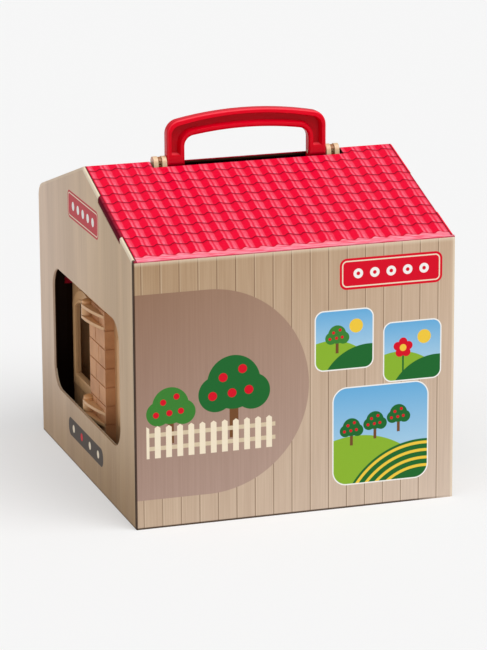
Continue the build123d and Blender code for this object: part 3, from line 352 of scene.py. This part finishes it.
def roof_print(g):
    """Printed pantiles: wavy courses under a dark line, each tile with two pale streaks."""
    down = abs(g.y) * SLOPE_RUN
    length = WALL_Y * SLOPE_RUN
    across = (g.x - TILE_START) / TILE_PITCH - 0.225
    sway = g.noise(1.0, 2.0, vector=g.join(g.x * 160.0, g.y * 160.0, 5.0)) - 0.5
    step = (across + sway * 0.14).fraction()
    wave = ((across - 0.27) * math.tau).sin() * 0.00112 + ((across - 0.05) * (2 * math.tau)).sin() \
        * 0.00034
    lowered = down - wave
    dense, slower, first = COURSES
    course = lowered * (dense - slower * lowered) - first
    within = course.fraction()
    cell = g.join(across.floor() * 3.17, course.floor() * 5.31, 0.0)
    vary = g.noise(1.0, 0.0, vector=cell)
    mottle = g.noise(420.0, 4.0, 0.6)
    streaks = step.fade(0.0, 0.07).high(step.fade(0.93, 1.0)) * step.fade(0.60, 0.50)
    notch = step.fade(0.15, 0.21) * step.fade(0.30, 0.24)
    bright = step.fade(0.27, 0.33) * step.fade(0.46, 0.40) + step.fade(0.03, 0.08) \
        * step.fade(0.17, 0.12)
    base = g.mix(mottle.fade(0.4, 0.75) * 0.3, RED, RED_DEEP)
    base = g.mix(streaks * (1.0 - notch * 0.7) * (vary.fade(0.2, 0.7) * 0.35 + 0.45), base, PINK)
    lift = bright.clamp() * (mottle.fade(0.35, 0.7) * 0.45 + within.fade(0.3, 0.9) * 0.35)
    base = g.mix(lift, base, PINK_LIGHT)
    base = g.mix(within.fade(0.26, 0.0) * 0.6, base, RED_DEEP)
    dark = within.fade(0.905, 0.94).high(within.fade(0.03, 0.0))
    base = g.mix(dark * ((length - lowered).fade(0.0085, 0.0105) * 0.65 + 0.3), base, RED_LINE)
    band = (length - lowered).fade(EAVE_BAND, EAVE_BAND - 0.0008)
    streak = g.noise(1.0, 3.0, vector=g.join(g.x * 90.0, g.y * 900.0, 0.0))
    base = g.mix(band, base, g.mix(streak.fade(0.3, 0.7), PINK_PALE, PINK))
    # painted shade in the crease along the eave
    base = g.mix((length - down).fade(0.0008, 0.0003) * 0.7, base, RED_LINE)
    # painted shade in the gaps at the cut ends beside the gable panels
    ends = abs(g.x).fade(ROOF_END, ROOF_END + 0.0005) * (g.x.below(0.0) * 0.55 + 0.30)
    return g.mix(ends, base, RED_LINE)


def bend_reach(g):
    """Distance from the middle of the far bend, and 1 in the quarter that the bend fills."""
    dy, dz = g.y - BEND_Y, g.z - BEND_Z
    return (dy * dy + dz * dz).root(), dy.above(0.0) * dz.above(0.0)


def wrap_material():
    g = Graph("carton_wrap_print", 0.45, Specular_IOR_Level=0.07)
    reach, quarter = bend_reach(g)
    front = (g.y + WALL_Y - PRINT_DEPTH).below(0.0)
    back = (g.y - WALL_Y + PRINT_DEPTH).above(0.0)
    roof_z = g.z - (RIDGE_Z - abs(g.y) * SLOPE)
    roof = (roof_z + PRINT_DEPTH).above(0.0)
    bend = quarter * reach.above(BEND_R - PRINT_DEPTH)
    sideways = ((g.x + GABLE_X) / (2 * GABLE_X)).clamp()
    downward = ((TONE_TOP - g.z) / TONE_TOP).clamp()
    # print with painted shade: darker towards -X and towards the top
    tone = corners(g, sideways, downward, WALL_TOP, WALL_LOW)
    wall, grain = boards(g, g.x + 0.2, 0.839, tone, 0.7)
    # painted highlight: a pale strip just under the eave
    wall = g.mix((EAVE_Z - g.z).fade(0.0042, 0.0006) * 0.5, wall, PALE)
    # painted shade in the gap at the near corner
    corner = (-g.x).fade(GABLE_X - 0.0012, GABLE_X - 0.0005) * (g.y + WALL_Y).below(0.0045)
    # painted highlight with worn print along the fold at the +X end
    rim = g.x.fade(GABLE_X - 0.0022, GABLE_X - 0.0008) * 0.55
    flat = Flat(g, g.x, g.z)

    # half-round panel with a fence and two trees
    panel = flat.box(-0.16, PANEL_U, PANEL_V - PANEL_R, PANEL_V + PANEL_R).low(
        flat.disc(PANEL_U, PANEL_V, PANEL_R))
    # print with painted shade: the panel is darker towards the top
    printed = corners(g, sideways * 1.6, downward, PANEL_TOP, PANEL_LOW)
    printed = g.mix(grain.fade(0.3, 0.7) * 0.12, printed, colour(110, 78, 60))
    face = g.mix(flat.inside(panel), wall, printed)
    for u, v, size, crown in PANEL_TREES:
        face = apple_tree(g, flat, face, u, v, size, crown)
    face = fence(g, flat, face, *PANEL_FENCE)

    # plaque in place of a sign
    plaque = flat.box(*FRONT_PLAQUE)
    face = g.mix(flat.inside(plaque), face, SIGN_RED)
    face = g.mix(flat.inside(abs(plaque + 0.0022) - 0.00045), face, CREAM)
    start, pitch, v = FRONT_DOTS
    for k in range(5):
        u = start + pitch * k
        face = g.mix(flat.inside(flat.disc(u, v, 0.0036)), face, WHITE)
        face = g.mix(flat.inside(flat.disc(u, v, 0.0014)), face, SIGN_RED)

    # painted highlight with worn print along the +X fold
    face = g.mix(rim, face, PALE)
    for u, v, size, kind in COUNTRY_TILES:
        face = country_tile(g, flat, face, u, v, size, kind)

    tiles = roof_print(g)
    lip = g.mix(g.noise(600.0, 3.0).fade(0.3, 0.7), PINK_PALE, PINK)
    # the inner faces take the painted shade of the board's inside
    outside = g.mix(back, g.mix(front, RAW_IN_SHADE, face), wall)
    outside = g.mix(bend, outside, g.mix(g.z.above(LIP_Z), wall, lip))
    outside = g.mix(roof * (1.0 - quarter * reach.above(BEND_R + 0.0002)), outside, tiles)
    printed_share = front.high(back).high(roof).high(bend)
    # painted shade on the cut edges at the ends of the wrap
    edges = abs(g.x).above(GABLE_X - BOARD_THICK - 0.0007) * (1.0 - printed_share)
    outside = g.mix(edges, outside, RAW_SHADE)
    # painted shade: the tab's fold darkens from the roof's red to maroon where it turns down into
    # the slot
    tab = abs(g.x).above(TAB_X) * (g.y + WALL_Y).above(0.01) * g.z.above(TONE_TOP)
    fold = abs(g.x).fade(TAB_X + 0.0004, TAB_X + 0.0020)
    outside = g.mix(tab, outside, g.mix(fold * 0.85, tiles, TAB_FOLD_SHADE))
    # painted shade in the gap at the near corner
    outside = g.mix(corner * 0.9, outside, PAINTED_SHADE)
    # painted contact shadow along the foot, fading towards +X
    foot = g.z.fade(0.0017, 0.0009) * (1.0 - sideways.fade(0.85, 1.0) * 0.9)
    outside = g.mix(foot * 0.9, outside, PAINTED_SHADE)
    height = grain * 0.3 + g.noise(700.0, 2.0) * 0.5
    rough = (1.0 - printed_share) * 0.35 + 0.45
    return g.finish(outside, roughness=rough, height=height, distance=0.00012, strength=0.3)


def gable_material(side):
    g = Graph(f"{side}_gable_print", 0.5, Specular_IOR_Level=0.15)
    reach, quarter = bend_reach(g)
    outer = abs(g.x).above(GABLE_X - GABLE_PRINT)
    # print with painted shade: darker towards the foot and towards the near edge
    tone = corners(g, ((g.y + 0.06) / 0.16).clamp(), g.z.fade(0.09, 0.0), GABLE_TOP, GABLE_LOW)
    face, grain = boards(g, g.y + 0.2, 0.15, tone, 0.10)
    broad = g.noise(1.0, 1.0, vector=g.join(g.y * 34.0, 0.0, g.z * 2.0))
    face = g.mix(broad.fade(0.35, 0.65) * 0.22, face, colour(150, 124, 104))
    flat = Flat(g, g.y, g.z)
    if side == "window":
        plaque = flat.box(*GABLE_PLAQUE)
        face = g.mix(flat.inside(plaque), face, colour(198, 52, 62))
        face = g.mix(flat.inside(abs(plaque + 0.002) - 0.0004), face, CREAM)
        start, pitch, v = GABLE_DOTS
        for k in range(5):
            face = g.mix(flat.inside(flat.disc(start + pitch * k, v, 0.0034)), face, WHITE)
        face = g.mix(flat.inside(flat.box(*PILL)), face, GREY_PILL)
        start, pitch, v = PILL_DOTS
        for k in range(4):
            dot = APPLE if k == 2 else CREAM
            face = g.mix(flat.inside(flat.disc(start + pitch * k, v, 0.0030)), face, dot)
    # pale folds, part worn print and part painted highlight: strong along the near rake, faint
    # along the far rake, bend and corner
    rake = RIDGE_Z - abs(g.y) * SLOPE - g.z
    depth = rake.low(WALL_Y - g.y) * (1.0 - quarter) + (BEND_R - reach) * quarter
    fold = depth.fade(0.0030, 0.0018) * (g.y.fade(0.004, -0.004) * 0.65 + 0.25)
    face = g.mix(fold, face, PALE)
    # painted shade: a dark band along the near corner and a dark line along the foot
    corner_shade = 0.8 if side == "window" else 0.3
    face = g.mix((g.y + WALL_Y).fade(0.0042, 0.0030) * corner_shade, face, PAINTED_SHADE)
    face = g.mix(g.z.fade(0.0016, 0.0006) * 0.5, face, PAINTED_SHADE)
    # painted light on the inner rim: edges facing up are pale, the others shaded
    inner_rim = abs(g.x).above(GABLE_X - BOARD_THICK + 0.0001) * (1.0 - outer)
    upward = g.split(g.facing)[2].above(0.3)
    edge = RAW_EDGE_LIT
    if side == "door":
        # the roof's red is printed over the top edge
        edge = RED
        face = g.mix(rake.fade(0.0012, 0.0007), face, RED)
    # the inner face takes the painted shade of the board's inside
    base = g.mix(outer, RAW_IN_SHADE, face)
    base = g.mix(inner_rim, base, g.mix(upward, RAW_SHADE, edge))
    return g.finish(base, height=grain * 0.3 + g.noise(700.0, 2.0) * 0.5, distance=0.00012,
                    strength=0.3)


def board_material():
    g = Graph("bare_board", 0.8, Specular_IOR_Level=0.2)
    fleck = g.noise(900.0, 4.0, 0.7)
    base = g.mix(fleck.fade(0.3, 0.7), colour(168, 150, 128), colour(190, 174, 150))
    flutes = (g.x * (math.tau / FLUTE_PITCH)).sin() * 0.5 + 0.5
    return g.finish(base, height=flutes * 0.35 + fleck * 0.4, distance=0.0002, strength=0.4)


# ---- materials of the barn ------------------------------------------------------------------
BARN_RED, BARN_RED_DEEP = colour(190, 22, 46), colour(164, 14, 34)
BARN_TILE_PITCH = 0.0082
# painted highlight colour of the handle
HANDLE_GLINT = (1.0, 0.090, 0.120, 1)


def moulded(name, base, deep, roughness, grain=0.0, axis="z", edge=0.0004, gloss=0.5):
    """Moulded plastic, with wood grain where grain is above 0."""
    g = Graph(name, roughness, Specular_IOR_Level=gloss)
    cloud = g.noise(38.0, 3.0)
    fine = g.noise(1600.0, 2.0)
    share = cloud.fade(0.3, 0.75) * 0.5
    height = fine * 0.12
    if grain:
        factors = {"x": (14.0, 420.0, 420.0), "y": (420.0, 14.0, 420.0), "z": (420.0, 420.0, 14.0)}
        lines = g.stretched(1.0, *factors[axis], detail=4.0)
        share = share + lines.fade(0.35, 0.7) * 0.5
        height = height + lines * grain
    rough = cloud * 0.1 + (roughness - 0.05)
    return g.finish(g.mix(share, base, deep), roughness=rough, height=height, distance=0.00025,
                    strength=0.6, edge=edge)


def brick_material():
    g = Graph("moulded_brick", 0.55, Specular_IOR_Level=0.35)
    tone = g.noise(60.0, 3.0)
    base = g.mix(tone.fade(0.3, 0.7), colour(214, 156, 108), colour(194, 136, 92))
    pits = g.noise(700.0, 4.0, 0.65)
    return g.finish(base, height=pits, distance=0.0003, strength=0.5, edge=0.0004)


def door_material():
    g = Graph("door_green_boards", 0.42, Specular_IOR_Level=0.45)
    lines = g.stretched(1.0, 420.0, 420.0, 16.0, detail=4.0)
    base = g.mix(lines.fade(0.3, 0.7), colour(30, 84, 52), colour(20, 64, 40))
    return g.finish(base, height=lines * 0.6 + g.noise(1200.0, 2.0) * 0.15, distance=0.0003,
                    strength=0.6, edge=0.0003)


def barn_roof_material():
    g = Graph("barn_roof_tiles", 0.4, Specular_IOR_Level=0.45)
    across = (g.x / BARN_TILE_PITCH).fraction()
    joint = abs(across - 0.5).fade(0.46, 0.5)
    arc = (across - 0.5) * (across - 0.5)
    tone = g.noise(55.0, 3.0)
    base = g.mix(tone.fade(0.3, 0.7) * 0.6, BARN_RED, BARN_RED_DEEP)
    base = g.mix(joint * 0.5, base, colour(120, 8, 26))
    return g.finish(base, height=joint * -1.0 - arc * 1.6 + g.noise(900.0, 2.0) * 0.1,
                    distance=0.0005, strength=0.7, edge=0.0003)


def handle_material():
    """Glossy red, with painted shade low down and in the hollow of the grip, and painted highlights
    on its rounded edges.
    """
    g = Graph("handle_red", 0.26, Specular_IOR_Level=0.09)
    sideways, towards, upward = g.split(g.facing)
    # painted shade on the floor of the hollow
    hollow_shade = towards.below(-0.6) * (g.y - HOLLOW_Y).fade(0.0, 0.001)
    cloud = g.noise(30.0, 3.0)
    base = g.mix(cloud.fade(0.3, 0.75) * 0.5, (0.78, 0.0, 0.018, 1), (0.70, 0.0, 0.014, 1))
    # painted shade: darker low down on the legs
    base = g.mix(g.z.fade(0.2635, 0.2560) * 0.40, base, (0.48, 0.0, 0.008, 1))
    base = g.mix(hollow_shade, base, (0.50, 0.0, 0.009, 1))
    # painted highlights along the rounded front edges, the rounded sides of the legs and the foot
    # of the hollow
    edge = (upward * towards * -2.0).fade(0.45, 0.95) * g.z.above(GRIP_TOP)
    side = (abs(sideways) * towards * -2.0).fade(0.45, 0.95) \
        * g.z.fade(GRIP_TOP + 0.004, GRIP_TOP) * abs(g.x - HANDLE_X).above(GRIP_HALF) * 0.45
    foot = upward.above(0.5) * (g.y - HOLLOW_Y).fade(-0.0006, 0.0004) * g.y.below(0.003) \
        * g.z.below(HOLLOW_FOOT)
    base = g.mix(edge.high(foot).high(side) * 0.6, base, HANDLE_GLINT)
    return g.finish(base, roughness=cloud * 0.06 + 0.16, height=g.noise(900.0, 2.0) * 0.1,
                    distance=0.0001, strength=0.4, edge=0.0006)


# partly painted shade: these creams are set darker and more orange than the parts' own cream, as
# seen in the carton's shade
WALL_CREAM = moulded("wall_cream", colour(206, 160, 114), colour(188, 140, 95), 0.5, grain=0.7,
                     gloss=0.3)
TRIM_CREAM = moulded("trim_cream", colour(219, 172, 122), colour(205, 156, 106), 0.4)
KNUCKLE_CREAM = moulded("knuckle_cream", colour(236, 206, 166), colour(224, 190, 150), 0.38)
TONGUE_TAN = moulded("tongue_tan", colour(168, 112, 68), colour(146, 94, 54), 0.45)
PIN_ORANGE = moulded("pin_tan", colour(224, 166, 108), colour(208, 150, 94), 0.35)
ROOF = barn_roof_material()
FRAME_RED = moulded("lattice_red", BARN_RED, BARN_RED_DEEP, 0.4, grain=0.2, axis="x")
BRICK = brick_material()
FLOOR = moulded("floor_yellow", colour(226, 208, 128), colour(214, 194, 112), 0.45, grain=0.5,
                axis="x")
DOOR = door_material()
IRON = moulded("iron_black", colour(34, 34, 34), colour(24, 24, 24), 0.35, edge=0.0003)
HANDLE = handle_material()
BOARD = board_material()
LOOKS = {
    "carton_wrap": wrap_material(), "carton_window_gable": gable_material("window"),
    "carton_door_gable": gable_material("door"), "carton_base": BOARD,
    "chimney": BRICK, "chimney_cap": BRICK, "drop_bar": IRON, "drop_bar_keeper": IRON,
    "drop_bar_pivot": IRON, "carry_handle": HANDLE, "handle_pins": KNUCKLE_CREAM,
    "lower_hinge_pin": PIN_ORANGE, "upper_hinge_pin": PIN_ORANGE, "near_hinge_plates": TRIM_CREAM,
    "far_hinge_knuckles": TRIM_CREAM, "far_door_pull": DOOR,
    "left_handle_bracket": KNUCKLE_CREAM, "right_handle_bracket": KNUCKLE_CREAM,
    "left_latch_tongue": TONGUE_TAN, "right_latch_tongue": TONGUE_TAN,
}
for half in ("near", "far"):
    LOOKS.update({
        f"{half}_roof": ROOF, f"{half}_dormer_frame": FRAME_RED, f"{half}_floor": FLOOR,
        f"{half}_long_wall": WALL_CREAM, f"{half}_front_gable": WALL_CREAM,
        f"{half}_back_gable": WALL_CREAM, f"{half}_side_window_frames": TRIM_CREAM,
        f"{half}_back_window_frame": TRIM_CREAM, f"{half}_door_arch": TRIM_CREAM,
        f"{half}_door": DOOR, f"{half}_door_straps": IRON, f"{half}_door_pintles": IRON,
    })
for name, thing in nodes.items():
    thing.data.materials.clear()
    thing.data.materials.append(LOOKS[name])

# ---- floor, light and camera ------------------------------------------------------------------
SUNS = (("key", (-0.40, 0.55, -1.0), 2.2, 50), ("side", (0.70, 0.35, -0.80), 0.45, 60))
YAW, PITCH, ROLL = (math.radians(a) for a in (17.87, 15.22, -0.31))
CAMERA_PLACE = (-0.7488, -2.3308, 0.7729)
LENS_MM = 187.8

bpy.ops.mesh.primitive_plane_add(size=60, location=(0, 0, 0))
floor = bpy.context.object
floor.name = "studio_floor"
pale = Graph("studio_floor_pale", 0.9, Specular_IOR_Level=0.0, Emission_Color=(1.0, 1.0, 1.0, 1),
             Emission_Strength=0.42)
floor.data.materials.append(pale.finish(pale.mix(pale.noise(0.4), (0.49, 0.49, 0.49, 1),
                                                 (0.50, 0.50, 0.50, 1))))

world = bpy.data.worlds.new("studio")
scene.world = world
world.use_nodes = True
world.node_tree.nodes["Background"].inputs["Color"].default_value = (1.0, 1.0, 1.0, 1)
world.node_tree.nodes["Background"].inputs["Strength"].default_value = 0.34

for name, towards, strength, spread in SUNS:
    data = bpy.data.lights.new(name, "SUN")
    data.energy, data.angle = strength, math.radians(spread)
    lamp = bpy.data.objects.new(name, data)
    scene.collection.objects.link(lamp)
    lamp.rotation_euler = Vector(towards).to_track_quat("-Z", "Y").to_euler()

forward = Vector((math.sin(YAW) * math.cos(PITCH), math.cos(YAW) * math.cos(PITCH),
                  -math.sin(PITCH)))
right = Vector((math.cos(YAW), -math.sin(YAW), 0))
up = right.cross(forward)
right, up = (math.cos(ROLL) * right + math.sin(ROLL) * up,
             -math.sin(ROLL) * right + math.cos(ROLL) * up)
lens = bpy.data.cameras.new("camera")
lens.lens, lens.sensor_width, lens.sensor_fit = LENS_MM, 36.0, "AUTO"
lens.clip_start, lens.clip_end = 0.05, 60
camera = bpy.data.objects.new("camera", lens)
scene.collection.objects.link(camera)
camera.matrix_world = Matrix.Translation(CAMERA_PLACE) @ Matrix(
    (right, up, -forward)).transposed().to_4x4()
scene.camera = camera
